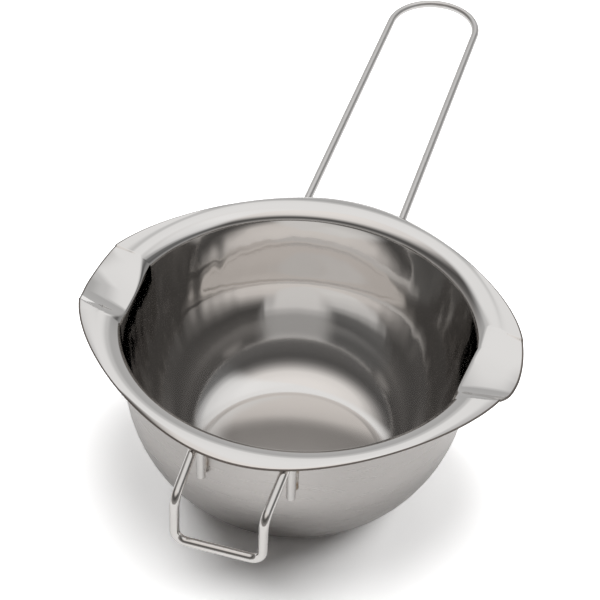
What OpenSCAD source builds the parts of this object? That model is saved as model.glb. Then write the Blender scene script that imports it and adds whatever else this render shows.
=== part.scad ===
// Double boiler bowl: a pressed steel bowl with two pouring spouts, a long wire handle
// and a short wire hook that hangs over the rim of a saucepan of hot water.
// Millimetres, +Z up. The origin is the centre of the flat base, on the surface it stands on.
// +Y points along the long handle, -Y to the rest hook, and the spouts point along X.

/* [Bowl] */
// Inner diameter at the top of the wall
rim_d = 114; // [104:1:138]
// Height from the surface the bowl stands on to the top of the rim
bowl_h = 62.8; // [52:0.1:76]
// Thickness of the pressed sheet
sheet_t = 0.6; // [0.5:0.05:1]
// Radius of the flat base
base_r = 28.5; // [22:0.5:32]
// Outer radius of the bend round the flat base
heel_r = 16; // [8:0.5:22]
// Angle at which that bend runs into the round belly
heel_angle = 30; // [20:1:36]
// Lean of the upper wall, wider at the top
wall_draft = 4; // [1:0.5:6]
// Radius of the roll from the wall to the flange
rim_roll_r = 6.4; // [6:0.1:8]

/* [Flange] */
// Mean width of the flange, with its roll
flange_w = 11.3; // [9.5:0.1:15]
// Half of how much further the flange reaches at the spouts than at the front
spout_reach = 1.9; // [0:0.1:4]
// Half of how far the outline falls in between a spout and the front
shoulder = 2.3; // [0:0.1:3]
// Slope of the flange, down and outwards
flange_fall = 3; // [0:0.5:6]

/* [Pouring spouts] */
// Width across the top of the channel
spout_w = 33; // [27:0.5:39]
// Width of the flat floor of the channel
spout_floor_w = 23; // [14:1:25]
// Depth of the channel below the top of the rim, where it leaves the bowl
spout_depth = 2.6; // [1.8:0.1:3.6]
// Fall of the channel floor, down and outwards
spout_fall = 2; // [0:0.5:5]

/* [Wire] */
// Diameter of the drawn wire
wire_d = 3; // [2.5:0.1:3.6]
// Clearance between a stub and the wall it is welded to
weld_gap = 0.15; // [0.1:0.05:0.3]

/* [Long handle] */
// Distance between the two legs, centre to centre
handle_w = 34.8; // [26:0.2:44]
// Depth below the top of the rim of the corner where the lines of legs and stubs meet
handle_below = 6.6; // [4.8:0.1:12]
// Distance from that corner to the far end of the loop
handle_length = 160.4; // [95:0.1:210]
// Rise of the legs, outwards
handle_rise = 2.3; // [0:0.1:6]
// Length of the stub, up to that corner
handle_stub = 21; // [19:0.5:28]
// Bend radius from the stub to the leg, on the centre line
handle_bend_r = 4; // [3:0.1:6]

/* [Rest hook] */
// Distance between the two legs, centre to centre
hook_w = 27.4; // [22:0.2:34]
// Clearance between the bend over a stub and the underside of the rolled rim
hook_clearance = 0.15; // [0.15:0.05:1]
// Distance from the stub to the part that hangs down, centre line
hook_length = 24; // [17:0.5:40]
// Drop of the legs between the wall and their outer bend
hook_droop = 5.1; // [2:0.1:8]
// Height of the part that hangs down outside the rim of the pan
hook_drop = 16.4; // [12:0.1:26]
// Length of the stub, up to the corner where its line meets the line of the leg
hook_stub = 20; // [19:0.5:24]
// Bend radius of the outer corners, on the centre line
hook_bend_r = 3.8; // [3:0.1:4.4]

/* [Welds] */
// Width of a weld bead across the stub
bead_w = 4.6; // [4.2:0.1:5.4]
// Length of a weld bead along the stub
bead_len = 13; // [6:0.5:14]
// Bare end of the stub below the bead
bead_foot = 2; // [0.5:0.5:3]

/* [Hidden] */
outline_points = 72;
arc_steps = 12;
wire_fn = 48;
wall_fn = 360;
trim_margin = 20;
bend_lap = 0.1;
bend_thinning = 0.02;
polished_steel = "gainsboro";
drawn_steel = "silver";
welded_steel = "darkgray";

rim_r = rim_d / 2;
wire_r = wire_d / 2;

// Points in the (radius, height) plane: the centre of the rolled rim, and the top of the wall
roll_c = [rim_r + rim_roll_r, bowl_h - rim_roll_r];
roll_under_r = rim_roll_r - sheet_t;
wall_top = roll_c + roll_under_r * [-cos(wall_draft), sin(wall_draft)];

// The belly is the arc that runs smoothly from the heel bend into the leaning wall
belly_room = wall_top[0] - base_r - heel_r * sin(heel_angle)
    - (wall_top[1] - heel_r * (1 - cos(heel_angle))) * tan(wall_draft);
belly_share = cos(wall_draft) - sin(heel_angle)
    - (cos(heel_angle) - sin(wall_draft)) * tan(wall_draft);
belly_r = belly_room / belly_share;
heel_c = [base_r, heel_r];
belly_c = heel_c + (heel_r - belly_r) * [sin(heel_angle), -cos(heel_angle)];
wall_foot = belly_c + belly_r * [cos(wall_draft), -sin(wall_draft)];

// The flange is drawn past its edge, and then trimmed to its outline
flange_max = rim_r + flange_w + spout_reach + shoulder;
flange_run = (flange_max + trim_margin - roll_c[0]) * [1, -tan(flange_fall)];
flange_up = [sin(flange_fall), cos(flange_fall)];

function flange_r(a) = rim_r + flange_w + spout_reach * cos(2 * a) + shoulder * cos(4 * a);

function arc(c, r, a0, a1) = [for (i = [0 : arc_steps])
    let (a = a0 + (a1 - a0) * i / arc_steps) c + r * [cos(a), sin(a)]];

function backwards(p) = [for (i = [len(p) - 1 : -1 : 0]) p[i]];

// One face of the sheet from the base to the flange, inset from the outside of the bowl
function sheet_face(inset) = concat(
    [[0, inset]],
    arc(heel_c, heel_r - inset, -90, heel_angle - 90),
    arc(belly_c, belly_r - inset, heel_angle - 90, -wall_draft),
    arc(roll_c, roll_under_r + inset, 180 - wall_draft, 90 - flange_fall),
    [roll_c + (roll_under_r + inset) * flange_up + flange_run]);

module sheet_section() {
    polygon(concat(sheet_face(0), backwards(sheet_face(sheet_t))));
}

// Everything inside the outer face of the sheet
module inside_section() {
    face = sheet_face(0);
    polygon(concat(face, [[face[len(face) - 1][0], bowl_h], [0, bowl_h]]));
}

// Everything below the top face of the rolled rim and the flange
module under_rim_section() {
    flange_end = roll_c + rim_roll_r * flange_up + flange_run;
    polygon(concat(arc(roll_c, rim_roll_r, 180, 90 - flange_fall),
        [flange_end, [flange_end[0], roll_c[1] - rim_roll_r], roll_c - [rim_roll_r, rim_roll_r]]));
}

module outline_prism() {
    linear_extrude(height = bowl_h + trim_margin)
        polygon([for (i = [0 : outline_points - 1])
            let (a = 360 * i / outline_points) flange_r(a) * [cos(a), sin(a)]]);
}

// A spout is drawn along +X. Its section has Y to the side and Z up, with the floor at zero.

module along_spout() {
    translate([rim_r, 0, bowl_h - spout_depth])
        rotate([0, spout_fall, 0])
            rotate([90, 0, 90])
                children();
}

module spout_section(drop) {
    side_angle = atan2(spout_depth, (spout_w - spout_floor_w) / 2);
    top = 2 * rim_roll_r;
    half_floor = spout_floor_w / 2 + drop * tan(side_angle / 2);
    half_top = half_floor + (top + drop) / tan(side_angle);
    polygon([[half_floor, -drop], [half_top, top], [-half_top, top], [-half_floor, -drop]]);
}

module spout_space() {
    along_spout()
        translate([0, 0, -rim_r / 2])
            linear_extrude(height = rim_r / 2 + trim_margin + flange_w)
                spout_section(0);
}

module spout_sheet() {
    along_spout()
        translate([0, 0, -rim_roll_r])
            linear_extrude(height = rim_roll_r + trim_margin + flange_w)
                difference() {
                    spout_section(sheet_t);
                    spout_section(0);
                }
}

module both_spouts() {
    children();
    mirror([1, 0, 0]) children();
}

module bowl() {
    color(polished_steel) {
        difference() {
            intersection() {
                rotate_extrude($fn = wall_fn) sheet_section();
                outline_prism();
            }
            both_spouts() spout_space();
        }
        intersection() {
            rotate_extrude($fn = wall_fn) under_rim_section();
            outline_prism();
            both_spouts() spout_sheet();
        }
    }
}

// Wire is a chain of straight runs and bends, each drawn at the end of the one before.
// It runs along +Y of its own frame, a bend turns it towards +X, and a roll turns it about +Y.

module run(length) {
    rotate([-90, 0, 0]) cylinder(h = length, d = wire_d, $fn = wire_fn);
    translate([0, length, 0]) children();
}

// Wire thins a little as it bends, so a bend starts and ends inside its neighbours
module bend(r, angle) {
    lap_angle = atan(bend_lap / r);
    translate([r, 0, 0]) {
        mirror([1, 0, 0])
            rotate([0, 0, -lap_angle])
                rotate_extrude(angle = angle + 2 * lap_angle, $fn = wire_fn)
                    translate([r, 0]) circle(d = wire_d - bend_thinning, $fn = wire_fn);
        rotate([0, 0, -angle]) translate([-r, 0, 0]) children();
    }
}

module roll(angle) {
    rotate([0, angle, 0]) children();
}

function setback(r, angle) = r * tan(angle / 2);

// A stub lies against the wall, in the upright plane of its leg. Both ends of the bowl are
// drawn at the back, on the left, and mirrored from there.

// The bend over a stub of the hook follows the underside of the rolled rim
hook_nest_r = roll_under_r - wire_r - hook_clearance;
hook_fall = atan2(hook_droop, hook_length);

// Heights of the corners where the line of a leg meets the line of its stub
handle_z = bowl_h - handle_below;
hook_z = roll_c[1] + setback(hook_nest_r, 90 - wall_draft + hook_fall);

function wall_r(z) = wall_top[0] - (wall_top[1] - z) * tan(wall_draft);
function stub_r(z) = wall_r(z) + (wire_r + weld_gap) / cos(wall_draft);
function stub_y(w, z) = sqrt(pow(stub_r(z), 2) - pow(w / 2, 2));
function stub_lean(w, z) = atan2(stub_y(w, z) - stub_y(w, wall_foot[1]), z - wall_foot[1]);

// The point at height z on the line where a stub comes nearest to the wall
function contact(w, z) = wall_r(z) * [-w / 2 / stub_r(z), stub_y(w, z) / stub_r(z), 0] + [0, 0, z];

module from_stub_foot(w, z, stub) {
    lean = stub_lean(w, z);
    translate([-w / 2, stub_y(w, z) - stub * sin(lean), z - stub * cos(lean)])
        rotate([-lean, 0, 0])
            rotate([90, 0, 90])
                children();
}

module weld_bead(w, z, stub) {
    low_z = z - (stub - bead_foot) * cos(stub_lean(w, z));
    low = contact(w, low_z);
    along = contact(w, low_z + bead_len * cos(wall_draft)) - low;
    difference() {
        translate(low)
            rotate([0, acos(along[2] / norm(along)), atan2(along[1], along[0])])
                cylinder(h = norm(along), d = bead_w, $fn = wire_fn);
        from_stub_foot(w, z, stub) run(stub);
        rotate_extrude($fn = wall_fn) inside_section();
    }
}

module handle_wire() {
    turn = 90 - stub_lean(handle_w, handle_z) - handle_rise;
    stub = handle_stub - setback(handle_bend_r, turn);
    loop_r = handle_w / 2;
    leg = (handle_length - wire_r) / cos(handle_rise)
        - loop_r - setback(handle_bend_r, turn);
    color(drawn_steel)
        from_stub_foot(handle_w, handle_z, handle_stub)
            run(stub) bend(handle_bend_r, turn) run(leg)
            roll(-90) bend(loop_r, 180) roll(90)
            run(leg) bend(handle_bend_r, turn) run(stub);
}

module hook_wire() {
    inner_turn = 90 - stub_lean(hook_w, hook_z) + hook_fall;
    outer_turn = 90 - hook_fall;
    stub = hook_stub - setback(hook_nest_r, inner_turn);
    leg = norm([hook_length, hook_droop]) - setback(hook_nest_r, inner_turn)
        - setback(hook_bend_r, outer_turn);
    drop = hook_drop - setback(hook_bend_r, outer_turn) - hook_bend_r;
    bar = hook_w - 2 * hook_bend_r;
    color(drawn_steel)
        mirror([0, 1, 0])
            from_stub_foot(hook_w, hook_z, hook_stub)
                run(stub) bend(hook_nest_r, inner_turn) run(leg)
                bend(hook_bend_r, outer_turn) run(drop)
                roll(-90) bend(hook_bend_r, 90) run(bar) bend(hook_bend_r, 90) roll(90)
                run(drop) bend(hook_bend_r, outer_turn)
                run(leg) bend(hook_nest_r, inner_turn) run(stub);
}

module handle_weld() {
    color(welded_steel) weld_bead(handle_w, handle_z, handle_stub);
}

module hook_weld() {
    color(welded_steel) mirror([0, 1, 0]) weld_bead(hook_w, hook_z, hook_stub);
}

bowl();
handle_wire();
handle_weld();  // handle_weld_left
mirror([1, 0, 0]) handle_weld();  // handle_weld_right
hook_wire();
hook_weld();  // hook_weld_left
mirror([1, 0, 0]) hook_weld();  // hook_weld_right
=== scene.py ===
"""A double boiler bowl: the pressed steel bowl, its long wire handle, its rest hook, their welds.

Sizes are millimetres, as in the part's source, and become metres when a mesh is made.
The bowl stands on z = 0, +Y points along the handle, -Y to the hook and the spouts along X.
"""

import math

import bpy
import numpy as np
from mathutils import Matrix, Vector


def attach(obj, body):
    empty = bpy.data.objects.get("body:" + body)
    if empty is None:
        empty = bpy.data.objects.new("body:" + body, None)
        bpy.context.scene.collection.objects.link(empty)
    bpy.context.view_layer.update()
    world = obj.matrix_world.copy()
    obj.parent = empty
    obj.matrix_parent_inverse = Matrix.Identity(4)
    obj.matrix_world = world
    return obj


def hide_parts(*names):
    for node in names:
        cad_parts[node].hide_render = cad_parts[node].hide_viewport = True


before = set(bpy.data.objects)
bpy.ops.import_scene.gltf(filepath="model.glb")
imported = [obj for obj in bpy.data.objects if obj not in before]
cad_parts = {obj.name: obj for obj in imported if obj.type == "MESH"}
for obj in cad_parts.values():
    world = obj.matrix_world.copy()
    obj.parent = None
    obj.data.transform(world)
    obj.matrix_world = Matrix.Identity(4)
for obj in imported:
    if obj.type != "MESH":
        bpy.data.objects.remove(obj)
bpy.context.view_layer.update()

MM = 0.001

# Sizes of the bowl

# The inner radius of the rim, the height to the top of the rolled rim and the sheet's thickness
RIM_R = 57.0
BOWL_H = 62.8
SHEET = 0.6
# The radius of the flat base, the heel's bend and how many degrees it turns, how many degrees the
# wall leans out, the bend of the rolled rim and how many degrees the flange falls
BASE_R = 28.5
HEEL_R = 16.0
HEEL_ANGLE = 30.0
WALL_DRAFT = 4.0
RIM_ROLL_R = 6.4
FLANGE_FALL = 3.0
# The radius of the bend where the sheet has each slope, from the flat base to the wall. It follows
# the heel and the belly of the fixed frame to within a millimetre, with the bends running into
# each other as drawing leaves them, which the reflections inside show
BEND_SLOPES = (0.0, 8.0, 16.0, 26.0, 38.0, 54.0, 70.0, 86.0)
BEND_RADII = (10.5, 10.0, 17.5, 18.9, 23.0, 46.0, 58.0, 48.0)
# The same for the top face of the rolled rim, from the wall to the flange: it turns over sharply
# out of the wall and then runs out in a wide round
ROLL_SLOPES = (86.0, 52.0, 44.0, 20.0, -3.0)
ROLL_RADII = (2.4, 2.4, 6.0, 9.0, 10.5)
# Between two rows of the mesh a bend is worked out in this many small turns
SMALL_TURNS = 8

# Ripples that drawing leaves in the wall: how deep, between which heights they grow, and how far
# below the rim and over what height they fade. Midway between the spouts only a share is left
RIPPLE_DEPTH = 0.10
RIPPLE_FOOT = 10.0
RIPPLE_FULL = 30.0
RIPPLE_BELOW_RIM = 7.0
RIPPLE_FADE = 4.0
RIPPLE_LEAST = 0.15
# Each sways to the side as it climbs: how far (radians of its wave), over what height, and how
# much two of them differ in it
RIPPLE_SWAY = 0.8
RIPPLE_SWAY_HEIGHT = 11.0
RIPPLE_SWAY_SHIFT = 2.1
# For each wave: how many go round, its lean with height, where it starts, its share of the depth
RIPPLES = ((17, 0.05, 0.4, 0.35), (31, -0.06, 2.0, 0.25), (46, 0.08, 4.1, 0.25),
           (71, -0.04, 1.3, 0.15))

# The outline of the flange: its mean radius and how far each even harmonic moves it
OUTLINE_MEAN = 68.1
OUTLINE_WAVES = ((2, 1.9), (4, 2.25), (6, 0.07), (8, 0.14))
# How far the pressing of the spouts pulls the flange up at the sides and down between them
FLANGE_LIFT = 0.7

# The channel of a spout: the height of its floor at the rim, and how many degrees it falls
CHANNEL_FLOOR = 60.4
CHANNEL_FALL = 2.0
# Its middle lies lower than its sides by the trough. Lengthwise it is highest at CROWN_X and lies
# lower by the crown at CROWN_HALF to either side of that
CHANNEL_TROUGH = 0.5
CHANNEL_CROWN = 0.7
CROWN_X = 63.5
CROWN_HALF = 8.0
# How softly its creases are rounded, and how wide its walls are on the hook's side (near) and on
# the handle's side (far)
CHANNEL_BLEND = 1.1
NEAR_WALL = 8.0
FAR_WALL = 17.0
# Pressing a spout also folds the rim straight across its mouth. The fold pulls the wall in from
# the first of these heights, fully at the second, and runs out at the outer edge
FOLD_FOOT = 47.0
FOLD_TOP = 59.5
# The left spout (-1) and the right one (1) came out a little different. Near and far give Y of
# the two creases at the mouth and at the outer edge, and fold gives Y of the two ends of the
# straight rim
SPOUTS = {
    -1: {"near": (-18.2, -13.2), "far": (13.5, 16.5), "fold": (-18.2, 13.5)},
    1: {"near": (-19.2, -16.6), "far": (17.6, 12.6), "fold": (-19.2, 8.0)},
}
MOUTH_X = 56.5
LIP_X = 71.0
# The creases run on past the mouth and the outer edge by up to these shares of that run
CREASE_REACH = (-1.0, 1.3)
# Height that stands for no channel, the distance over which its slope is measured, and the
# steepest slope that is one: anything steeper is the step at the end of the channel
NO_CHANNEL = 1000.0
SLOPE_STEP = 0.05
STEEPEST = 3.0

# Rows of the mesh over the base, the bends, the wall and the rolled rim, on both faces, then over
# the flange and the cut edge
INSIDE_ROWS = (5, 43, 9, 26)
OUTSIDE_ROWS = (4, 22, 5, 12)
FLANGE_TOP_ROWS = 22
FLANGE_UNDER_ROWS = 12
EDGE_ROWS = 5
# Degrees from one column of the mesh to the next: fine at the spouts, within half of SPOUT_ANGLE
FINE_ANGLE = 0.3
COARSE_ANGLE = 1.0
SPOUT_ANGLE = 42.0

# Sizes of the wires

# The wire is 3 mm thick. It is drawn a hair thinner, so that it stays within the fixed frame
WIRE_R = 1.47
# Between a stub and the wall
WELD_GAP = 0.15
# The handle: between the middles of its legs, how far below the rim it leaves its stubs, its
# length, how many degrees it rises, its stubs, its bends and how deep its loop is
HANDLE_W = 34.8
HANDLE_BELOW = 6.6
HANDLE_LENGTH = 160.4
HANDLE_RISE = 2.3
HANDLE_STUB = 21.0
HANDLE_BEND_R = 4.0
HANDLE_LOOP_DEPTH = 19.3
# The hook: between the middles of its legs, its gap to the rolled rim, how far its legs run out
# and sink, how far its end hangs down, its stubs and its bends
HOOK_W = 27.4
HOOK_CLEARANCE = 0.15
HOOK_LENGTH = 24.0
HOOK_DROOP = 5.1
HOOK_DROP = 16.4
HOOK_STUB = 20.0
HOOK_BEND_R = 3.8
# The hook is bent by eye: X of its two legs at the bowl and at its end
HOOK_ROOTS = (-13.8, 14.6)
HOOK_ENDS = (-13.5, 13.5)
# Degrees from one ring of the wire to the next, in a bend and round the loop
BEND_STEP = 4.0
LOOP_STEP = 3
# How far from its tip the cut end of a wire starts to round, the share of its radius that is
# lost there, and where extra rings stand so that the round shows
WIRE_END = 0.7
WIRE_END_LOSS = 0.3
WIRE_END_RINGS = (0.08, 0.2, 0.4, 0.7)

# The weld metal squeezed out round a stub: its length and radius, how far its line lies to each
# side and stands off the wall, and how far its middle lies below the top of the stub
BEAD_LEN = 13.0
BEAD_R = 0.6
BEAD_SPREAD = 1.1
BEAD_STAND = 0.2
BEAD_DROP = 10.5
# How far from its tips it thins out and the share of its radius lost there, how high and how wide
# its lumps are, and how far apart the random numbers of two welds lie
BEAD_TAPER = 3.0
BEAD_END_LOSS = 0.8
BEAD_LUMPS = 0.35
BEAD_LUMP_SIZE = 1.11
BEAD_SEED_STEP = 3.7
# Points along each side of it, and degrees from one to the next round the foot of the stub
BEAD_SIDE_POINTS = 14
BEAD_FOOT_STEP = 20

RING_POINTS = 24
# Edges that turn more than this many degrees stay sharp
SHARP_ANGLE = 50

# Colours and finishes

# Colours are sRGB. A finish has its smoothest and its roughest value, pattern sizes are the real
# ones in millimetres except where a comment says coarser, and depths are in millimetres too
BOWL_COLOUR = "#E1DFDD"
BUFFED_ROUGHNESS = (0.02, 0.11)
# The buffing wheel reaches the bottom badly, up to the first height and fully from the second
WHEEL_REACH = (10.0, 32.0)
# Broad faint clouds that it leaves, and how much they change the roughness
CLOUD_SIZE = 28.6
CLOUD_ROUGHNESS = 0.006

SATIN_COLOUR = "#C9C5C2"
SATIN_ROUGHNESS = (0.25, 0.35)
# Brush lines are 0.05 mm apart on the real bowl, and ten times as coarse here so that they show
BRUSH_LINE_LENGTH = 16.7
BRUSH_LINE_PITCH = 0.5
BRUSH_LINE_DEPTH = 0.0015

# The cut edge's colour is darker than the steel's own: painted shade for the dark surroundings it
# reflects
EDGE_COLOUR_WITH_PAINTED_SHADE = "#7E7772"
EDGE_ROUGHNESS = (0.3, 0.5)
# Shear marks stand 0.1 mm apart on the real edge, and are coarser here so that they show
SHEAR_MARK_SIZE = 0.625
SHEAR_MARK_DEPTH = 0.03

HANDLE_COLOUR = "#DDDBD9"
HANDLE_ROUGHNESS = (0.32, 0.40)
HOOK_COLOUR = "#D6D3D0"
HOOK_ROUGHNESS = (0.10, 0.15)
DIMPLE_SIZE = 1.54
DIMPLE_DEPTH = 0.003

WELD_COLOUR = "#B9B4AF"
WELD_TINT = "#8E7D6A"
WELD_ROUGHNESS = 0.42
WELD_GRAIN_SIZE = 0.71
WELD_GRAIN_DEPTH = 0.05
# Where the tint of the heat is strongest and where it has gone, on a 0 to 1 noise of this size
HEAT_PATCH_SIZE = 2.22
HEAT_TINTED = 0.35
HEAT_CLEAR = 0.6

# Noise stays nearly always between these two values, so a finish runs from one to the other
NOISE_LOW = 0.3
NOISE_HIGH = 0.7

# Light of the studio

# Brightness at each height above the horizon, in degrees: in front of the bowl, behind it where
# the white backdrop is, and to its right. 1 is white
FRONT_LIGHT = ((0, 0.36), (12, 0.30), (20, 0.21), (30, 0.12), (41, 0.09), (46, 0.15), (50, 0.28),
               (54, 0.44), (58, 0.64), (64, 0.86), (90, 0.95))
BACK_LIGHT = ((0, 0.52), (26, 0.50), (34, 0.66), (41, 0.92), (60, 0.95), (90, 0.95))
RIGHT_LIGHT = ((0, 0.36), (16, 0.28), (26, 0.14), (38, 0.18), (44, 0.50), (50, 0.82),
               (60, 0.92), (70, 1.0), (90, 0.97))
# The backdrop and the bright right side: the middle of each in degrees from +Y to +X, how far to
# either side it reaches, and how far it is at its full brightness
BACK_TURN, BACK_EDGE, BACK_FULL = -18, 52, 24
RIGHT_TURN, RIGHT_EDGE, RIGHT_FULL = 62, 53, 24
WHITE = (1.0, 1.0, 1.0, 1.0)
# The room in front is a little warm
FRONT_TINT = (1.02, 0.985, 0.96, 1.0)
# Lamps that light the floor and aren't seen in the steel, each with its direction from +Y to +X,
# its height and its width in degrees, and its strength. A little light comes from all round
LAMPS = {
    "lamp_overhead": (0, 88, 30, 1.35),
    "lamp_right": (58, 40, 32, 1.7),
    "lamp_left": (-61, 36, 32, 1.65),
    "lamp_back": (0, 60, 40, 0.45),
}
EVEN_LIGHT = 0.04
# The paper floor as it lights things, as it is drawn, and as the steel shows it
PAPER_COLOUR = "#F8F8F8"
PAPER_SEEN = (1.45, 1.45, 1.45, 1.0)
PAPER_MIRRORED = (0.8, 0.8, 0.8, 1.0)
# Half the side of the floor, in metres
FLOOR_HALF = 3.0

# The camera stands this many degrees from -Y towards +X and above the horizon, is rolled this
# many degrees, and looks at the target from this distance (mm) through a lens of this length
CAMERA_AZIMUTH = 14.01
CAMERA_ELEVATION = 39.35
CAMERA_ROLL = 3.35
CAMERA_DISTANCE = 589.8
CAMERA_TARGET = (-12.56, 49.41, 28.5)
CAMERA_LENS = 99.06


# Angles in this script are degrees
def tan(degrees):
    return math.tan(math.radians(degrees))


def sin(degrees):
    return math.sin(math.radians(degrees))


def cos(degrees):
    return math.cos(math.radians(degrees))


# Shape of the sheet

# The fixed frame's section, as (radius, height): the centres of its three arcs and both ends of
# its straight wall, on the outer face of the sheet. The belly's radius is the one that runs
# smoothly from the heel into the wall. The wires stand against that wall
ROLL_C = np.array([RIM_R + RIM_ROLL_R, BOWL_H - RIM_ROLL_R])
ROLL_UNDER_R = RIM_ROLL_R - SHEET
WALL_TOP = ROLL_C + ROLL_UNDER_R * np.array([-cos(WALL_DRAFT), sin(WALL_DRAFT)])
BELLY_ROOM = (WALL_TOP[0] - BASE_R - HEEL_R * sin(HEEL_ANGLE)
              - (WALL_TOP[1] - HEEL_R * (1 - cos(HEEL_ANGLE))) * tan(WALL_DRAFT))
BELLY_SHARE = (cos(WALL_DRAFT) - sin(HEEL_ANGLE)
               - (cos(HEEL_ANGLE) - sin(WALL_DRAFT)) * tan(WALL_DRAFT))
BELLY_R = BELLY_ROOM / BELLY_SHARE
HEEL_C = np.array([BASE_R, HEEL_R])
BELLY_C = HEEL_C + (HEEL_R - BELLY_R) * np.array([sin(HEEL_ANGLE), -cos(HEEL_ANGLE)])
WALL_FOOT = BELLY_C + BELLY_R * np.array([cos(WALL_DRAFT), -sin(WALL_DRAFT)])


def straight(start, end, steps):
    """Points on a line, without its first point."""
    share = np.linspace(0, 1, steps + 1)[1:, None]
    return np.asarray(start) * (1 - share) + np.asarray(end) * share


def bent_line(slopes, radii):
    """How far out and up a line has come at each slope, when it bends through them."""
    turn = np.radians(slopes)
    middle, step = (turn[1:] + turn[:-1]) / 2, np.abs(turn[1:] - turn[:-1])
    length = (radii[1:] + radii[:-1]) / 2 * step
    out = np.concatenate([[0.0], np.cumsum(length * np.cos(middle))])
    up = np.concatenate([[0.0], np.cumsum(length * np.sin(middle))])
    return out, up


def belly_points(inset, rows):
    """The bent part of the sheet, from the edge of the flat base to the foot of the wall."""
    slopes = np.linspace(0.0, 90 - WALL_DRAFT, rows * SMALL_TURNS + 1)
    out, up = bent_line(slopes, np.exp(np.interp(slopes, BEND_SLOPES, np.log(BEND_RADII))))
    wall = (WALL_TOP[1] - up[-1]) / cos(WALL_DRAFT)
    flat_r = WALL_TOP[0] - out[-1] - wall * sin(WALL_DRAFT)
    turn = np.radians(slopes)
    points = np.stack([flat_r + out - inset * np.sin(turn), up + inset * np.cos(turn)], axis=1)
    return points[::SMALL_TURNS]


def roll_points(inset, rows):
    """The rolled rim, from the top of the wall to the start of the flange."""
    slopes = np.linspace(90 - WALL_DRAFT, -FLANGE_FALL, rows * SMALL_TURNS + 1)
    out, up = bent_line(slopes, np.interp(-slopes, np.negative(ROLL_SLOPES), ROLL_RADII))
    # The top face leaves the wall at the height from which it just reaches the flange
    wall_end_r, wall_end_z = ROLL_C + RIM_ROLL_R * np.array([-cos(WALL_DRAFT), sin(WALL_DRAFT)])
    gap = (ROLL_C[1] + RIM_ROLL_R / cos(FLANGE_FALL)
           - (wall_end_r + out[-1] - ROLL_C[0]) * tan(FLANGE_FALL) - wall_end_z - up[-1])
    rise = gap / (1 + tan(WALL_DRAFT) * tan(FLANGE_FALL))
    start_r, start_z = wall_end_r + rise * tan(WALL_DRAFT), wall_end_z + rise
    below = SHEET - inset
    turn = np.radians(slopes)
    points = np.stack([start_r + out + below * np.sin(turn),
                       start_z + up - below * np.cos(turn)], axis=1)
    return points[::SMALL_TURNS]


def sheet_profile(inset, rows):
    """One face of the sheet from the axis to the end of the rolled rim."""
    base, belly, wall, roll = rows
    bent = belly_points(inset, belly)
    rolled = roll_points(inset, roll)
    return np.concatenate([
        straight((0.0, inset), bent[0], base), bent[1:],
        straight(bent[-1], rolled[0], wall), rolled[1:]])


def outline_r(theta):
    """The radius of the flange's cut edge."""
    return OUTLINE_MEAN + sum(size * np.cos(wave * theta) for wave, size in OUTLINE_WAVES)


def ease(share):
    """Starts and ends softly."""
    share = np.clip(share, 0, 1)
    return share * share * (3 - 2 * share)


def rounding_out(share):
    """Rises from a sharp crease and levels out."""
    share = np.clip(share, 0, 1)
    return share * (2 - share)


def lower_of(a, b, blend):
    """The lower of two heights, with the crease between them rounded."""
    near = np.clip(1 - np.abs(a - b) / blend, 0, 1)
    return np.minimum(a, b) - near * near * blend / 4


def channel_height(x, y):
    """Height of the top face of a spout's channel, and NO_CHANNEL away from the spouts."""
    out = np.abs(x)
    along = np.clip((out - MOUTH_X) / (LIP_X - MOUTH_X), *CREASE_REACH)
    plane = BOWL_H - (out - ROLL_C[0]) * tan(FLANGE_FALL)
    crown = ((out - CROWN_X) / CROWN_HALF) ** 2
    floor = CHANNEL_FLOOR - (out - RIM_R) * tan(CHANNEL_FALL) - CHANNEL_CROWN * crown
    height = np.full_like(x, NO_CHANNEL)
    for side, creases in SPOUTS.items():
        near = creases["near"][0] + (creases["near"][1] - creases["near"][0]) * along
        far = creases["far"][0] + (creases["far"][1] - creases["far"][0]) * along
        depth = rounding_out((y - near) / NEAR_WALL) * rounding_out((far - y) / FAR_WALL)
        middle = (y - (near + far) / 2) / (far - near) * 2
        trough = CHANNEL_TROUGH * np.clip(middle * middle, 0, 1)
        here = (x * side > 0) & (y > near) & (y < far)
        channel = plane - (plane - floor - trough) * depth
        height = np.where(here, channel, height)
    return height


def folded_x(x, y, z):
    """Pulls the rim of the mouth of each spout in to a straight line between its two creases."""
    up = ease((z - FOLD_FOOT) / (FOLD_TOP - FOLD_FOOT))
    in_board = 1 - ease((np.abs(x) - RIM_R) / (LIP_X - RIM_R))
    moved = x.copy()
    for side, creases in SPOUTS.items():
        near, far = creases["fold"]
        near_x, far_x = math.sqrt(RIM_R ** 2 - near ** 2), math.sqrt(RIM_R ** 2 - far ** 2)
        chord = near_x + (far_x - near_x) * (y - near) / (far - near)
        bulge = np.sqrt(np.clip(RIM_R ** 2 - y ** 2, 0, None)) - chord
        here = (x * side > RIM_R / 2) & (y > near) & (y < far)
        moved = np.where(here, x - side * np.clip(bulge, 0, None) * up * in_board, moved)
    return moved


def pressed(points, under):
    """Presses the spouts into rows of points on the top face or the underside of the sheet."""
    x, y, z = points[..., 0], points[..., 1], points[..., 2]
    x = folded_x(x, y, z)
    channel = channel_height(x, y)
    if under:
        # The underside lies a sheet's thickness below, measured square to the slope
        step = SLOPE_STEP
        slope_x = (channel_height(x + step, y) - channel_height(x - step, y)) / (2 * step)
        slope_y = (channel_height(x, y + step) - channel_height(x, y - step)) / (2 * step)
        slope = np.hypot(slope_x, slope_y)
        channel = channel - SHEET * np.sqrt(1 + np.where(slope < STEEPEST, slope, 0) ** 2)
    pressed_z = np.where(channel < NO_CHANNEL / 2, lower_of(z, channel, CHANNEL_BLEND), z)
    return np.stack([x, y, pressed_z], axis=-1)


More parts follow.
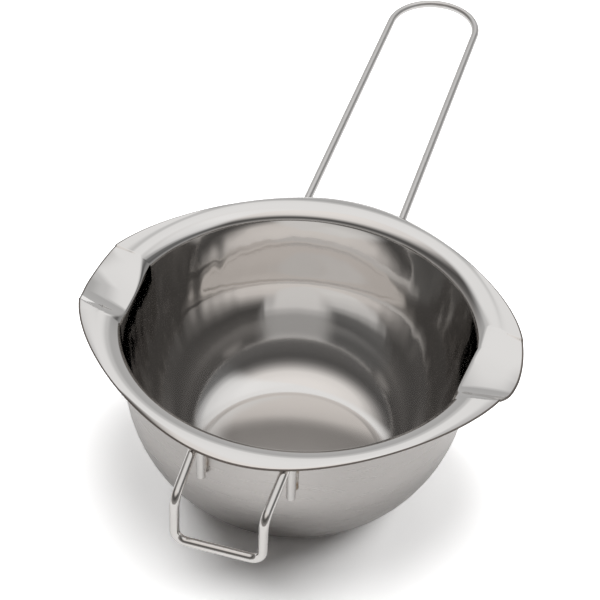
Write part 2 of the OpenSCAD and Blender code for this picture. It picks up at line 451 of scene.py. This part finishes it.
def spaced_angles():
    """Angles round the bowl, close together at the spouts."""
    angles = []
    angle = 0.0
    while angle < 360 - 1e-9:
        angles.append(angle)
        from_spout = min(angle % 180, 180 - angle % 180)
        angle += FINE_ANGLE if from_spout < SPOUT_ANGLE / 2 - 1e-6 else COARSE_ANGLE
    return np.radians(np.array(angles))


def rows_round(profile, theta):
    """Turns (radius, height) points into rows of points round the bowl."""
    r = profile[:, 0][:, None]
    z = np.repeat(profile[:, 1][:, None], len(theta), axis=1)
    return np.stack([r * np.cos(theta), r * np.sin(theta), z], axis=-1)


def flange_rows(inset, theta, count):
    """Rows from the end of the rolled rim to where the cut edge starts to round."""
    start_r, start_z = roll_points(inset, 2)[-1]
    end_r = outline_r(theta) - SHEET / 2
    share = np.linspace(0, 1, count + 1)[1:, None]
    r = start_r + (end_r - start_r) * share
    z = start_z - (r - start_r) * tan(FLANGE_FALL)
    z = z + FLANGE_LIFT * np.cos(2 * theta) * share ** 2
    return np.stack([r * np.cos(theta), r * np.sin(theta), z], axis=-1)


def edge_rows(top, bottom, theta, count):
    """The cut edge, rounded over by the trimming and polishing."""
    outwards = np.stack([np.cos(theta), np.sin(theta), np.zeros_like(theta)], axis=-1)
    middle = (top + bottom) / 2
    half = (top - bottom) / 2
    turns = np.linspace(90, -90, count + 2)[1:-1]
    return np.stack([middle + half * sin(turn) + outwards * SHEET / 2 * cos(turn)
                     for turn in turns])


def rippled(rows):
    """Draws the upright ripples into the wall, deepest under the spouts. The base stays smooth."""
    x, y, z = rows[..., 0], rows[..., 1], rows[..., 2]
    theta = np.arctan2(y, x)
    wave = np.zeros_like(x)
    for count, lean, start, share in RIPPLES:
        sway = RIPPLE_SWAY * np.sin(z / RIPPLE_SWAY_HEIGHT + start * RIPPLE_SWAY_SHIFT)
        wave = wave + share * np.sin(count * theta + lean * z + start + sway)
    up = (ease((z - RIPPLE_FOOT) / (RIPPLE_FULL - RIPPLE_FOOT))
          * ease((BOWL_H - RIPPLE_BELOW_RIM - z) / RIPPLE_FADE))
    at_spouts = RIPPLE_LEAST + (1 - RIPPLE_LEAST) * np.cos(theta) ** 2
    depth = RIPPLE_DEPTH * up * at_spouts * wave
    return np.stack([x + depth * np.cos(theta), y + depth * np.sin(theta), z], axis=-1)


# Which finish a face of the sheet has, in the order of the bowl's materials
MIRROR, SATIN, CUT_EDGE = 0, 1, 2


def build_bowl_mesh():
    """The whole sheet as one closed skin, and the finish of each of its faces."""
    theta = spaced_angles()
    inner = rippled(rows_round(sheet_profile(SHEET, INSIDE_ROWS), theta))
    top = flange_rows(SHEET, theta, FLANGE_TOP_ROWS)
    outer = rows_round(sheet_profile(0.0, OUTSIDE_ROWS), theta)
    bottom = flange_rows(0.0, theta, FLANGE_UNDER_ROWS)
    inner, top = pressed(inner, under=False), pressed(top, under=False)
    outer, bottom = pressed(outer, under=True), pressed(bottom, under=True)
    edge = edge_rows(top[-1], bottom[-1], theta, EDGE_ROWS)
    rows = np.concatenate([inner, top, edge, bottom[::-1], outer[::-1]])
    mirror_rows = len(inner) + len(top) - 1
    cut_rows = mirror_rows + len(edge) + 1

    # One point in the middle of each side of the base closes the skin
    points = np.concatenate([[[0, 0, SHEET]], rows.reshape(-1, 3), [[0, 0, 0]]]) * MM
    last = len(points) - 1
    around = len(theta)
    neighbours = [(here, (here + 1) % around) for here in range(around)]
    faces = [(0, 1 + here, 1 + after) for here, after in neighbours]
    for row in range(len(rows) - 1):
        start = 1 + row * around
        end = start + around
        faces.extend((start + here, end + here, end + after, start + after)
                     for here, after in neighbours)
    start = 1 + (len(rows) - 1) * around
    faces.extend((last, start + after, start + here) for here, after in neighbours)
    mesh = bpy.data.meshes.new("bowl_sheet")
    mesh.from_pydata(points.tolist(), [], faces)
    mesh.shade_smooth()
    finish = np.full(len(faces), SATIN, dtype=np.int32)
    finish[:around * cut_rows] = CUT_EDGE
    finish[:around * mirror_rows] = MIRROR
    return mesh, finish


# Paths of the wires


def wall_r(z):
    """The radius of the wall's outer face at a height."""
    return WALL_TOP[0] - (WALL_TOP[1] - z) * tan(WALL_DRAFT)


def stub_y(half_w, z):
    """How far out the middle of a stub stands, at a height and so far to the side."""
    stub_r = wall_r(z) + (WIRE_R + WELD_GAP) / cos(WALL_DRAFT)
    return math.sqrt(stub_r ** 2 - half_w ** 2)


def stub_lean(half_w, z):
    """Degrees that a stub leans outwards, along the wall."""
    rise = z - WALL_FOOT[1]
    return math.degrees(math.atan2(stub_y(half_w, z) - stub_y(half_w, WALL_FOOT[1]), rise))


def rounded_path(corners, radii):
    """A chain of straight runs with a round bend of the given radius at each inner corner."""
    points = [Vector(corners[0])]
    for before, corner, after, radius in zip(corners, corners[1:], corners[2:], radii):
        before, corner, after = Vector(before), Vector(corner), Vector(after)
        into, out = (corner - before).normalized(), (after - corner).normalized()
        turn = into.angle(out)
        start = corner - into * radius * math.tan(turn / 2)
        centre = start + (out - into * into.dot(out)).normalized() * radius
        axis = into.cross(out).normalized()
        count = max(2, math.ceil(math.degrees(turn) / BEND_STEP))
        for i in range(count + 1):
            spin = Matrix.Rotation(turn * i / count, 3, axis)
            points.append(centre + spin @ (start - centre))
    points.append(Vector(corners[-1]))
    return points


def handle_path():
    """The long handle: stub, leg, loop, leg and stub, as points on the wire's centre line."""
    half = HANDLE_W / 2
    z = BOWL_H - HANDLE_BELOW
    y = stub_y(half, z)
    lean = stub_lean(half, z)
    foot_y, foot_z = y - HANDLE_STUB * sin(lean), z - HANDLE_STUB * cos(lean)
    loop_y = y + HANDLE_LENGTH - WIRE_R - HANDLE_LOOP_DEPTH

    def on_leg(x, far):
        return (x, far, z + (far - y) * tan(HANDLE_RISE))

    left = rounded_path([(-half, foot_y, foot_z), (-half, y, z), on_leg(-half, loop_y)],
                        [HANDLE_BEND_R])
    loop = []
    for degrees in range(LOOP_STEP, 180, LOOP_STEP):
        loop.append(Vector(on_leg(-half * cos(degrees),
                                  loop_y + HANDLE_LOOP_DEPTH * sin(degrees))))
    right = [Vector((-p.x, p.y, p.z)) for p in reversed(left)]
    return left + loop + right


# The hook bends up under the rolled rim and follows its underside
HOOK_NEST_R = ROLL_UNDER_R - WIRE_R - HOOK_CLEARANCE
HOOK_FALL = math.degrees(math.atan2(HOOK_DROOP, HOOK_LENGTH))
HOOK_Z = ROLL_C[1] + HOOK_NEST_R * tan((90 - WALL_DRAFT + HOOK_FALL) / 2)


def hook_path():
    """The rest hook: stub, leg, hanging part, cross bar, and the same back again."""
    half = HOOK_W / 2
    y = stub_y(half, HOOK_Z)
    lean = stub_lean(half, HOOK_Z)
    foot_y, foot_z = y - HOOK_STUB * sin(lean), HOOK_Z - HOOK_STUB * cos(lean)
    out_y, out_z = y + HOOK_LENGTH, HOOK_Z - HOOK_DROOP
    low_z = out_z - HOOK_DROP
    (root_l, root_r), (end_l, end_r) = HOOK_ROOTS, HOOK_ENDS
    corners = [(root_l, -foot_y, foot_z), (root_l, -y, HOOK_Z), (end_l, -out_y, out_z),
               (end_l, -out_y, low_z), (end_r, -out_y, low_z), (end_r, -out_y, out_z),
               (root_r, -y, HOOK_Z), (root_r, -foot_y, foot_z)]
    radii = [HOOK_NEST_R, HOOK_BEND_R, HOOK_BEND_R, HOOK_BEND_R, HOOK_BEND_R, HOOK_NEST_R]
    return rounded_path(corners, radii)


# Small helpers


def add_node(tree, kind, inputs=None, **settings):
    """Adds a node. Inputs are values, or sockets to link from."""
    node = tree.nodes.new(kind)
    for name, value in settings.items():
        setattr(node, name, value)
    for key, value in (inputs or {}).items():
        socket = node.inputs[key]
        if isinstance(value, bpy.types.NodeSocket):
            tree.links.new(value, socket)
        else:
            socket.default_value = value
    return node


def linear(hex_colour):
    """An sRGB hex colour as linear red, green, blue and alpha."""
    parts = [int(hex_colour[i:i + 2], 16) / 255 for i in (1, 3, 5)]
    return tuple(c / 12.92 if c <= 0.04045 else ((c + 0.055) / 1.055) ** 2.4
                 for c in parts) + (1.0,)


def new_material(name):
    """A material with an empty node tree."""
    material = bpy.data.materials.new(name)
    material.use_nodes = True
    material.node_tree.nodes.clear()
    return material, material.node_tree


def new_object(name, mesh):
    """A mesh, lamp or camera as an object of the scene."""
    thing = bpy.data.objects.new(name, mesh)
    bpy.context.scene.collection.objects.link(thing)
    return thing


# Materials


def pattern_scale(size):
    """The scale of a noise whose grains are this many millimetres wide."""
    return 1 / (size * MM)


def bowl_mirror_steel():
    """18/8 stainless sheet, deep drawn and buffed. The eye gets a slightly warm mirror that is
    clear on the wall and a little softer and cloudier on the base."""
    material, tree = new_material("stainless_sheet_deep_drawn_mirror_buffed")
    place = add_node(tree, "ShaderNodeTexCoord").outputs["Object"]
    axes = add_node(tree, "ShaderNodeSeparateXYZ", {"Vector": place})
    reached = add_node(tree, "ShaderNodeMapRange", {
        "Value": axes.outputs["Z"], "From Min": WHEEL_REACH[0] * MM,
        "From Max": WHEEL_REACH[1] * MM, "To Min": BUFFED_ROUGHNESS[1],
        "To Max": BUFFED_ROUGHNESS[0]}, interpolation_type="SMOOTHSTEP")
    haze = add_node(tree, "ShaderNodeTexNoise", {
        "Vector": place, "Scale": pattern_scale(CLOUD_SIZE), "Detail": 1.0})
    clouds = add_node(tree, "ShaderNodeMapRange", {
        "Value": haze.outputs["Fac"], "From Min": NOISE_LOW, "From Max": NOISE_HIGH,
        "To Min": -CLOUD_ROUGHNESS, "To Max": CLOUD_ROUGHNESS})
    softness = add_node(tree, "ShaderNodeMath", {
        0: reached.outputs["Result"], 1: clouds.outputs["Result"]}, operation="ADD")
    shader = add_node(tree, "ShaderNodeBsdfPrincipled", {
        "Base Color": linear(BOWL_COLOUR), "Metallic": 1.0, "Roughness": softness.outputs[0]})
    add_node(tree, "ShaderNodeOutputMaterial", {"Surface": shader.outputs["BSDF"]})
    return material


def bowl_satin_steel():
    """The outside of the same sheet, brushed round the bowl. The eye gets a soft grey sheen."""
    material, tree = new_material("stainless_sheet_satin_brushed_outside")
    place = add_node(tree, "ShaderNodeTexCoord").outputs["Object"]
    # The lines lie level, so they run round the bowl
    along, across = pattern_scale(BRUSH_LINE_LENGTH), pattern_scale(BRUSH_LINE_PITCH)
    stretched = add_node(tree, "ShaderNodeMapping", {
        "Vector": place, "Scale": (along, along, across)})
    lines = add_node(tree, "ShaderNodeTexNoise", {
        "Vector": stretched.outputs[0], "Scale": 1.0, "Detail": 3.0, "Roughness": 0.7})
    brushed = add_node(tree, "ShaderNodeBump", {
        "Height": lines.outputs["Fac"], "Distance": BRUSH_LINE_DEPTH * MM})
    softness = add_node(tree, "ShaderNodeMapRange", {
        "Value": lines.outputs["Fac"], "From Min": NOISE_LOW, "From Max": NOISE_HIGH,
        "To Min": SATIN_ROUGHNESS[0], "To Max": SATIN_ROUGHNESS[1]})
    shader = add_node(tree, "ShaderNodeBsdfPrincipled", {
        "Base Color": linear(SATIN_COLOUR), "Metallic": 1.0,
        "Roughness": softness.outputs["Result"],
        "Normal": brushed.outputs["Normal"]})
    add_node(tree, "ShaderNodeOutputMaterial", {"Surface": shader.outputs["BSDF"]})
    return material


def cut_edge_steel_painted_shade():
    """The trimmed edge of the sheet, sheared and only deburred. The eye gets a thin dark line
    round the flange, with the shear marks across it. Its colour is darker than the steel's own:
    painted shade for the dark surroundings that the edge reflects."""
    material, tree = new_material("stainless_sheet_sheared_edge_painted_shade")
    place = add_node(tree, "ShaderNodeTexCoord").outputs["Object"]
    marks = add_node(tree, "ShaderNodeTexNoise", {
        "Vector": place, "Scale": pattern_scale(SHEAR_MARK_SIZE), "Detail": 2.0})
    torn = add_node(tree, "ShaderNodeBump", {
        "Height": marks.outputs["Fac"], "Distance": SHEAR_MARK_DEPTH * MM})
    softness = add_node(tree, "ShaderNodeMapRange", {
        "Value": marks.outputs["Fac"], "From Min": NOISE_LOW, "From Max": NOISE_HIGH,
        "To Min": EDGE_ROUGHNESS[0], "To Max": EDGE_ROUGHNESS[1]})
    shader = add_node(tree, "ShaderNodeBsdfPrincipled", {
        "Base Color": linear(EDGE_COLOUR_WITH_PAINTED_SHADE), "Metallic": 1.0,
        "Roughness": softness.outputs["Result"],
        "Normal": torn.outputs["Normal"]})
    add_node(tree, "ShaderNodeOutputMaterial", {"Surface": shader.outputs["BSDF"]})
    return material


def drawn_wire_steel(name, colour, roughness):
    """3 mm stainless wire, cold drawn and tumbled. The eye gets streaks along it, crisp where it
    is polished and softer where it is only satin finished for the hand."""
    material, tree = new_material(name)
    place = add_node(tree, "ShaderNodeTexCoord").outputs["Object"]
    # Tumbling leaves shallow dimples
    dimples = add_node(tree, "ShaderNodeTexNoise", {
        "Vector": place, "Scale": pattern_scale(DIMPLE_SIZE), "Detail": 2.0})
    tumbled = add_node(tree, "ShaderNodeBump", {
        "Height": dimples.outputs["Fac"], "Distance": DIMPLE_DEPTH * MM})
    softness = add_node(tree, "ShaderNodeMapRange", {
        "Value": dimples.outputs["Fac"], "From Min": NOISE_LOW, "From Max": NOISE_HIGH,
        "To Min": roughness[0], "To Max": roughness[1]})
    shader = add_node(tree, "ShaderNodeBsdfPrincipled", {
        "Base Color": linear(colour), "Metallic": 1.0,
        "Roughness": softness.outputs["Result"],
        "Normal": tumbled.outputs["Normal"]})
    add_node(tree, "ShaderNodeOutputMaterial", {"Surface": shader.outputs["BSDF"]})
    return material


def weld_brushed_steel():
    """Fused steel of a resistance weld, brushed over. The eye gets a dull, faintly straw and
    brown tinted grain where the heat stayed in the hollows."""
    material, tree = new_material("stainless_weld_heat_tinted_brushed")
    place = add_node(tree, "ShaderNodeTexCoord").outputs["Object"]
    grain = add_node(tree, "ShaderNodeTexNoise", {
        "Vector": place, "Scale": pattern_scale(WELD_GRAIN_SIZE), "Detail": 3.0})
    grainy = add_node(tree, "ShaderNodeBump", {
        "Height": grain.outputs["Fac"], "Distance": WELD_GRAIN_DEPTH * MM})
    heat = add_node(tree, "ShaderNodeTexNoise", {
        "Vector": place, "Scale": pattern_scale(HEAT_PATCH_SIZE), "Detail": 1.0})
    tint = add_node(tree, "ShaderNodeValToRGB", {"Fac": heat.outputs["Fac"]})
    for element, place_on_noise, colour in zip(
            tint.color_ramp.elements, (HEAT_TINTED, HEAT_CLEAR), (WELD_TINT, WELD_COLOUR)):
        element.position = place_on_noise
        element.color = linear(colour)
    shader = add_node(tree, "ShaderNodeBsdfPrincipled", {
        "Base Color": tint.outputs["Color"], "Metallic": 1.0, "Roughness": WELD_ROUGHNESS,
        "Normal": grainy.outputs["Normal"]})
    add_node(tree, "ShaderNodeOutputMaterial", {"Surface": shader.outputs["BSDF"]})
    return material


# Wires and welds by nodes


def round_bar_tree(name):
    """A node tree that sweeps a round bar along a chain of points.

    Its inputs are the bar's radius, how far from its ends it narrows and the share of the radius
    lost there, how high and how wide its lumps are, their fixed seed, and its metal."""
    tree = bpy.data.node_groups.new(name, "GeometryNodeTree")
    sockets = (("Path", "NodeSocketGeometry"), ("Radius", "NodeSocketFloat"),
               ("End rounding", "NodeSocketFloat"), ("End loss", "NodeSocketFloat"),
               ("Lump height", "NodeSocketFloat"), ("Lump size", "NodeSocketFloat"),
               ("Lump seed", "NodeSocketFloat"), ("Metal", "NodeSocketMaterial"))
    for label, kind in sockets:
        tree.interface.new_socket(label, in_out="INPUT", socket_type=kind)
    tree.interface.new_socket("Bar", in_out="OUTPUT", socket_type="NodeSocketGeometry")
    given = add_node(tree, "NodeGroupInput")
    line = add_node(tree, "GeometryNodeMeshToCurve", {"Mesh": given.outputs["Path"]})
    # The bar narrows in a quarter round towards both ends
    along = add_node(tree, "GeometryNodeSplineParameter")
    whole = add_node(tree, "GeometryNodeSplineLength")
    rest = add_node(tree, "ShaderNodeMath", {
        0: whole.outputs["Length"], 1: along.outputs["Length"]}, operation="SUBTRACT")
    from_end = add_node(tree, "ShaderNodeMath", {
        0: along.outputs["Length"], 1: rest.outputs[0]}, operation="MINIMUM")
    missing = add_node(tree, "ShaderNodeMapRange", {
        "Value": from_end.outputs[0], "From Min": 0.0,
        "From Max": given.outputs["End rounding"], "To Min": 1.0, "To Max": 0.0})
    squared = add_node(tree, "ShaderNodeMath", {
        0: missing.outputs["Result"], 1: 2.0}, operation="POWER")
    loss = add_node(tree, "ShaderNodeMath", {
        0: squared.outputs[0], 1: given.outputs["End loss"]}, operation="MULTIPLY")
    thickness = add_node(tree, "ShaderNodeMath", {0: 1.0, 1: loss.outputs[0]},
                         operation="SUBTRACT")
    shaped = add_node(tree, "GeometryNodeSetCurveRadius", {
        "Curve": line.outputs["Curve"], "Radius": thickness.outputs[0]})
    ring = add_node(tree, "GeometryNodeCurvePrimitiveCircle", {
        "Resolution": RING_POINTS, "Radius": given.outputs["Radius"]})
    swept = add_node(tree, "GeometryNodeCurveToMesh", {
        "Curve": shaped.outputs["Curve"], "Profile Curve": ring.outputs["Curve"],
        "Fill Caps": True})
    # Lumps push the skin in and out along its own normal
    fineness = add_node(tree, "ShaderNodeMath", {
        0: 1.0, 1: given.outputs["Lump size"]}, operation="DIVIDE")
    lumps = add_node(tree, "ShaderNodeTexNoise", {
        "W": given.outputs["Lump seed"], "Scale": fineness.outputs[0], "Detail": 1.0},
        noise_dimensions="4D")
    centred = add_node(tree, "ShaderNodeMath", {
        0: lumps.outputs[0], 1: 0.5}, operation="SUBTRACT")
    push = add_node(tree, "ShaderNodeMath", {
        0: centred.outputs[0], 1: given.outputs["Lump height"]}, operation="MULTIPLY")
    outwards = add_node(tree, "ShaderNodeVectorMath", {
        0: add_node(tree, "GeometryNodeInputNormal").outputs[0],
        "Scale": push.outputs[0]}, operation="SCALE")
    moved = add_node(tree, "GeometryNodeSetPosition", {
        "Geometry": swept.outputs["Mesh"], "Offset": outwards.outputs[0]})
    real = add_node(tree, "GeometryNodeRealizeInstances", {"Geometry": moved.outputs[0]})
    finished = add_node(tree, "GeometryNodeSetMaterial", {
        "Geometry": real.outputs[0], "Material": given.outputs["Metal"]})
    add_node(tree, "NodeGroupOutput", {"Bar": finished.outputs[0]})
    return tree


def bar_along(tree, name, points, settings):
    """Sweeps a bar along points (mm) with the node tree and keeps the result as a plain mesh."""
    path = bpy.data.meshes.new(name + "_path")
    path.from_pydata([tuple(Vector(p) * MM) for p in points],
                     [(i, i + 1) for i in range(len(points) - 1)], [])
    maker = new_object(name + "_maker", path)
    modifier = maker.modifiers.new("bar", "NODES")
    modifier.node_group = tree
    for item in tree.interface.items_tree:
        if item.in_out == "INPUT" and item.name in settings:
            modifier[item.identifier] = settings[item.name]
    evaluated = maker.evaluated_get(bpy.context.evaluated_depsgraph_get())
    mesh = bpy.data.meshes.new_from_object(evaluated)
    mesh.name = name
    maker.modifiers.remove(modifier)
    bpy.data.objects.remove(maker)
    bpy.data.meshes.remove(path)
    mesh.shade_smooth()
    mesh.set_sharp_from_angle(angle=math.radians(SHARP_ANGLE))
    return new_object(name, mesh)


def with_close_ends(points):
    """Adds points close to both ends of a path, where the cut ends are rounded."""
    ends = []
    for tip, inner in ((points[0], points[1]), (points[-1], points[-2])):
        inwards = (Vector(inner) - Vector(tip)).normalized()
        ends.append([Vector(tip) + inwards * step for step in WIRE_END_RINGS])
    return [points[0]] + ends[0] + points[1:-1] + list(reversed(ends[1])) + [points[-1]]


# The pieces


def put_on_body(piece, node):
    """The piece stands for a node of the fixed frame: it hangs on the root body and the node is
    hidden.
    """
    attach(piece, "root")
    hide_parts(node)


def make_bowl():
    """The pressed bowl, with a finish for each side of the sheet and one for its cut edge."""
    mesh, finish = build_bowl_mesh()
    mesh.materials.append(bowl_mirror_steel())
    mesh.materials.append(bowl_satin_steel())
    mesh.materials.append(cut_edge_steel_painted_shade())
    mesh.polygons.foreach_set("material_index", finish)
    mesh.update()
    bowl = new_object("bowl_sheet", mesh)
    put_on_body(bowl, "bowl")


def make_wires(tree):
    """The long handle and the rest hook, each bent from one length of wire."""
    satin = drawn_wire_steel("stainless_wire_drawn_satin", HANDLE_COLOUR, HANDLE_ROUGHNESS)
    bright = drawn_wire_steel("stainless_wire_drawn_polished", HOOK_COLOUR, HOOK_ROUGHNESS)
    for name, node, points, metal in (
            ("long_handle_wire", "handle_wire", handle_path(), satin),
            ("rest_hook_wire", "hook_wire", hook_path(), bright)):
        settings = {"Radius": WIRE_R * MM, "End rounding": WIRE_END * MM,
                    "End loss": WIRE_END_LOSS, "Lump height": 0.0,
                    "Lump size": BEAD_LUMP_SIZE * MM, "Lump seed": 0.0, "Metal": metal}
        wire = bar_along(tree, name, with_close_ends(points), settings)
        put_on_body(wire, node)


def bead_path(stub_x, top_z, outwards):
    """The line of the weld metal squeezed out round a stub: down one side and up the other."""
    low_z, high_z = top_z - BEAD_DROP - BEAD_LEN / 2, top_z - BEAD_DROP + BEAD_LEN / 2
    line = [(-BEAD_SPREAD, z) for z in np.linspace(high_z, low_z, BEAD_SIDE_POINTS)]
    line += [(-BEAD_SPREAD * cos(turn), low_z - BEAD_SPREAD * sin(turn))
             for turn in range(BEAD_FOOT_STEP, 180, BEAD_FOOT_STEP)]
    line += [(BEAD_SPREAD, z) for z in np.linspace(low_z, high_z, BEAD_SIDE_POINTS)]
    points = []
    for aside, z in line:
        x = stub_x + aside
        points.append((x, outwards * math.sqrt((wall_r(z) + BEAD_STAND) ** 2 - x ** 2), z))
    return points


def make_welds(tree):
    """The weld metal round the four stubs."""
    metal = weld_brushed_steel()
    handle_top = BOWL_H - HANDLE_BELOW
    places = (("handle_weld_left", -HANDLE_W / 2, handle_top, 1),
              ("handle_weld_right", HANDLE_W / 2, handle_top, 1),
              ("hook_weld_left", HOOK_ROOTS[0], HOOK_Z, -1),
              ("hook_weld_right", HOOK_ROOTS[1], HOOK_Z, -1))
    for seed, (node, x, top_z, outwards) in enumerate(places):
        settings = {"Radius": BEAD_R * MM, "End rounding": BEAD_TAPER * MM,
                    "End loss": BEAD_END_LOSS, "Lump height": BEAD_LUMPS * MM,
                    "Lump size": BEAD_LUMP_SIZE * MM, "Lump seed": BEAD_SEED_STEP * seed,
                    "Metal": metal}
        bead = bar_along(tree, node + "_bead", bead_path(x, top_z, outwards), settings)
        put_on_body(bead, node)


# Camera, floor and light


def make_camera():
    """The view of the photograph."""
    azimuth, elevation = math.radians(CAMERA_AZIMUTH), math.radians(CAMERA_ELEVATION)
    back = Vector((math.sin(azimuth) * math.cos(elevation),
                   -math.cos(azimuth) * math.cos(elevation), math.sin(elevation)))
    right = Vector((math.cos(azimuth), math.sin(azimuth), 0))
    up = back.cross(right)
    roll = math.radians(CAMERA_ROLL)
    tilted_right = right * math.cos(roll) + up * math.sin(roll)
    tilted_up = up * math.cos(roll) - right * math.sin(roll)
    data = bpy.data.cameras.new("camera")
    data.lens = CAMERA_LENS
    data.sensor_width = 36
    data.clip_start = 0.01
    data.clip_end = 100
    camera = new_object("camera", data)
    matrix = Matrix((tilted_right, tilted_up, back)).transposed().to_4x4()
    matrix.translation = (Vector(CAMERA_TARGET) + back * CAMERA_DISTANCE) * MM
    camera.matrix_world = matrix
    bpy.context.scene.camera = camera


def brightness_by_height(tree, height, stops):
    """Greys against the sine of the height above the horizon."""
    ramp = add_node(tree, "ShaderNodeValToRGB", {"Fac": height})
    ramp.color_ramp.interpolation = "EASE"
    elements = ramp.color_ramp.elements
    while len(elements) < len(stops):
        elements.new(0.5)
    for element, (degrees, grey) in zip(elements, stops):
        element.position = sin(degrees)
        element.color = (grey, grey, grey, 1.0)
    return ramp.outputs["Color"]


def share_towards(tree, level, turn, edge, full):
    """How far a level direction lies within the part of the studio round one azimuth."""
    towards = add_node(tree, "ShaderNodeVectorMath", {
        0: level, 1: (sin(turn), cos(turn), 0)}, operation="DOT_PRODUCT")
    return add_node(tree, "ShaderNodeMapRange", {
        "Value": towards.outputs["Value"], "From Min": cos(edge), "From Max": cos(full)},
        interpolation_type="SMOOTHSTEP").outputs["Result"]


def make_world():
    """A small studio round the same white background: the backdrop behind the bowl and the
    ceiling are white, the right side is bright, and the room in front is dim."""
    world = bpy.data.worlds.new("studio")
    bpy.context.scene.world = world
    world.use_nodes = True
    # Otherwise bright parts of the studio, which are meant for the steel, light the floor too
    world.cycles.sampling_method = "NONE"
    tree = world.node_tree
    tree.nodes.clear()
    direction = add_node(tree, "ShaderNodeTexCoord").outputs["Generated"]
    axes = add_node(tree, "ShaderNodeSeparateXYZ", {"Vector": direction})
    flat = add_node(tree, "ShaderNodeCombineXYZ", {
        "X": axes.outputs["X"], "Y": axes.outputs["Y"]})
    level = add_node(tree, "ShaderNodeVectorMath", {0: flat.outputs[0]},
                     operation="NORMALIZE").outputs[0]
    height = axes.outputs["Z"]
    front = add_node(tree, "ShaderNodeMix", {
        "Factor": 1.0, 6: brightness_by_height(tree, height, FRONT_LIGHT), 7: FRONT_TINT},
        data_type="RGBA", blend_type="MULTIPLY")
    with_right = add_node(tree, "ShaderNodeMix", {
        "Factor": share_towards(tree, level, RIGHT_TURN, RIGHT_EDGE, RIGHT_FULL),
        6: front.outputs[2], 7: brightness_by_height(tree, height, RIGHT_LIGHT)},
        data_type="RGBA")
    studio = add_node(tree, "ShaderNodeMix", {
        "Factor": share_towards(tree, level, BACK_TURN, BACK_EDGE, BACK_FULL),
        6: with_right.outputs[2], 7: brightness_by_height(tree, height, BACK_LIGHT)},
        data_type="RGBA")
    in_steel = add_node(tree, "ShaderNodeBackground", {
        "Color": studio.outputs[2], "Strength": 1.0})
    on_floor = add_node(tree, "ShaderNodeBackground", {
        "Color": WHITE, "Strength": EVEN_LIGHT})
    background = add_node(tree, "ShaderNodeBackground", {"Color": WHITE, "Strength": 1.0})
    # Steel shows the studio, the floor gets only a little even light beside its lamps, and the
    # background is plain white
    ray = add_node(tree, "ShaderNodeLightPath")
    unseen = add_node(tree, "ShaderNodeMixShader", {
        0: ray.outputs["Is Diffuse Ray"], 1: in_steel.outputs[0], 2: on_floor.outputs[0]})
    shown = add_node(tree, "ShaderNodeMixShader", {
        0: ray.outputs["Is Camera Ray"], 1: unseen.outputs[0], 2: background.outputs[0]})
    add_node(tree, "ShaderNodeOutputWorld", {"Surface": shown.outputs[0]})


def make_lamps():
    """Soft lamps above, behind and to both sides. They leave the shadow in front of the bowl."""
    for name, (turn, height, width, strength) in LAMPS.items():
        data = bpy.data.lights.new(name, "SUN")
        data.energy = strength
        data.angle = math.radians(width)
        lamp = new_object(name, data)
        away = Vector((sin(turn) * cos(height), cos(turn) * cos(height), sin(height)))
        lamp.matrix_world = away.to_track_quat("Z", "Y").to_matrix().to_4x4()
        lamp.visible_glossy = False


def make_floor():
    """A wide sheet of white paper under the bowl."""
    mesh = bpy.data.meshes.new("floor")
    half = FLOOR_HALF
    mesh.from_pydata([(-half, -half, 0), (half, -half, 0), (half, half, 0), (-half, half, 0)],
                     [], [(0, 1, 2, 3)])
    material, tree = new_material("white_paper")
    # The paper lights its surroundings as white paper does. It is drawn a little brighter, so
    # that the background is plain white and only the shadow under the bowl stays, and the steel
    # shows it as that same background, a little dimmer
    paper = add_node(tree, "ShaderNodeBsdfDiffuse", {"Color": linear(PAPER_COLOUR)})
    drawn = add_node(tree, "ShaderNodeBsdfDiffuse", {"Color": PAPER_SEEN})
    ray = add_node(tree, "ShaderNodeLightPath")
    mirrored = add_node(tree, "ShaderNodeMath", {
        0: ray.outputs["Is Glossy Ray"], 1: ray.outputs["Is Transmission Ray"]}, operation="ADD")
    in_steel = add_node(tree, "ShaderNodeBsdfDiffuse", {"Color": PAPER_MIRRORED})
    unseen = add_node(tree, "ShaderNodeMixShader", {
        0: mirrored.outputs[0], 1: paper.outputs[0], 2: in_steel.outputs[0]})
    shown = add_node(tree, "ShaderNodeMixShader", {
        0: ray.outputs["Is Camera Ray"], 1: unseen.outputs[0], 2: drawn.outputs[0]})
    add_node(tree, "ShaderNodeOutputMaterial", {"Surface": shown.outputs[0]})
    mesh.materials.append(material)
    floor = new_object("floor", mesh)


def main():
    """Builds the pieces and the scene round them."""
    bpy.context.scene.view_settings.view_transform = "Standard"
    make_bowl()
    bar_tree = round_bar_tree("round_bar_along_path")
    make_wires(bar_tree)
    make_welds(bar_tree)
    make_floor()
    make_world()
    make_lamps()
    make_camera()


main()
